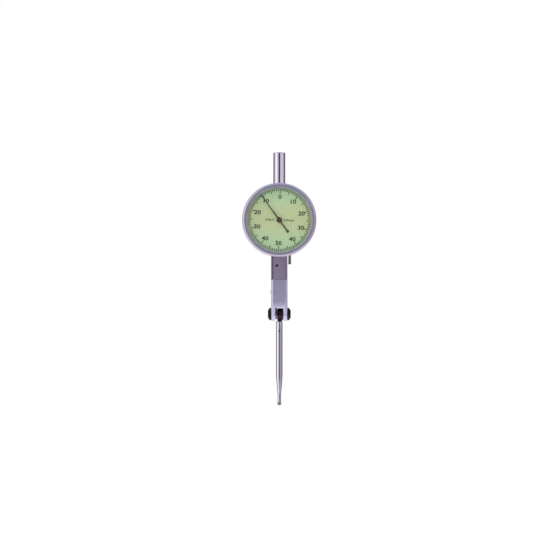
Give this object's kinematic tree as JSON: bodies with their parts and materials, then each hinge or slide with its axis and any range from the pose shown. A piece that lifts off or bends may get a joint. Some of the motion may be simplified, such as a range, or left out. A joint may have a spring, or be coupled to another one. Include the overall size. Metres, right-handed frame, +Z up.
{
  "type": "dial test indicator",
  "caption": "Lever-type dial test indicator: round green dial on a slim satin bar with a clamping stem, dovetail rail, forked pivot and a long ball-tipped stylus.",
  "frame": {"origin": "on the stem's axis, where the stem leaves the top of the bar", "axes": "+Z up along the stem, +Y away from the dial's face, +X to the right as the dial is read"},
  "size_m": [0.037, 0.0158, 0.1275],
  "materials": {
    "satin_chrome": "satin chrome plate over brass, fine matt grain",
    "bezel_chrome": "bright chrome plate with turned faces",
    "polished_steel": "ground and polished hardened steel",
    "blackened_steel": "blackened (oxide) steel",
    "screw_steel": "bright screw steel",
    "movement_brass": "fine-turned brass",
    "spring_steel": "blued spring steel",
    "jewel_ruby": "polished synthetic ruby",
    "dial_paint": "matt yellow-green enamel with black printing",
    "crystal_clear": "clear acrylic crystal",
    "pointer_black": "satin black paint",
    "ball_carbide": "lapped hard-metal ball"
  },
  "bodies": {
    "frame": {"body_frame": "satin_chrome", "stem": "polished_steel", "rear_cover": "satin_chrome", "rear_cover_screws": "screw_steel", "movement_plate": "movement_brass", "movement_plate_screws": "screw_steel", "centre_cock": "movement_brass", "centre_cock_screws": "screw_steel", "front_jewel": "jewel_ruby", "rear_jewel": "jewel_ruby", "crown_bearing_screws": "screw_steel", "sector_bearing_screws": "screw_steel", "pivot_pin": "blackened_steel", "pivot_cap_left": "blackened_steel", "pivot_cap_right": "blackened_steel", "hairspring": "spring_steel", "hairspring_stud": "movement_brass", "bezel_spring": "spring_steel", "set_screw": "blackened_steel", "stop_screw": "screw_steel", "clutch_bush": "movement_brass", "lever_spring": "spring_steel"},
    "lever": {"measuring_lever": "polished_steel", "drive_pin": "polished_steel", "friction_washer": "spring_steel"},
    "stylus": {"stylus_hub": "blackened_steel", "stylus_shaft": "polished_steel", "ball_tip": "ball_carbide"},
    "sector": {"sector_lever": "movement_brass", "sector_arbor": "polished_steel"},
    "crown": {"crown_arbor": "polished_steel", "crown_wheel": "movement_brass"},
    "pointer": {"centre_arbor": "polished_steel", "hairspring_collet": "movement_brass", "pointer_hand": "pointer_black", "pointer_boss": "pointer_black"},
    "bezel": {"bezel_ring": "bezel_chrome", "crystal": "crystal_clear", "dial_spacer": "bezel_chrome", "dial_plate": "dial_paint", "dial_carrier": "movement_brass"},
    "clutch": {"clutch_shaft": "polished_steel", "clutch_lever": "satin_chrome"}
  },
  "joints": [
    {"name": "pointer_spin", "type": "hinge", "parent": "frame", "child": "pointer", "pos_m": [0, -0.004, -0.017], "axis": [0, 1, 0], "range_deg": [0, 400], "stiffness_Nm_per_rad": 0.000004, "springref_deg": -458.37, "deforming": ["hairspring"]},
    {"name": "stylus_swing", "type": "hinge", "parent": "frame", "child": "lever", "pos_m": [0, 0, -0.0642], "axis": [-1, 0, 0], "range_deg": [0, 1.42], "deforming": ["lever_spring"]},
    {"name": "stylus_swivel", "type": "hinge", "parent": "lever", "child": "stylus", "pos_m": [0.0005, 0, -0.0642], "axis": [-1, 0, 0], "range_deg": [-100, 100]},
    {"name": "sector_swing", "type": "hinge", "parent": "frame", "child": "sector", "pos_m": [0, 0, -0.0382], "axis": [1, 0, 0], "range_deg": [0, 4]},
    {"name": "crown_spin", "type": "hinge", "parent": "frame", "child": "crown", "pos_m": [0, 0, -0.017], "axis": [-1, 0, 0], "range_deg": [0, 66.67]},
    {"name": "bezel_turn", "type": "hinge", "parent": "frame", "child": "bezel", "pos_m": [0, -0.008, -0.017], "axis": [0, 1, 0], "continuous": true},
    {"name": "clutch_flip", "type": "hinge", "parent": "frame", "child": "clutch", "pos_m": [0.005, 0, -0.0296], "axis": [-1, 0, 0], "range_deg": [-18, 18], "deforming": ["lever_spring"]}
  ],
  "couplings": [
    {"joint": "stylus_swing", "follows": "pointer_spin", "ratio": 0.0035417},
    {"joint": "sector_swing", "follows": "pointer_spin", "ratio": 0.01},
    {"joint": "crown_spin", "follows": "pointer_spin", "ratio": 0.16667}
  ]
}
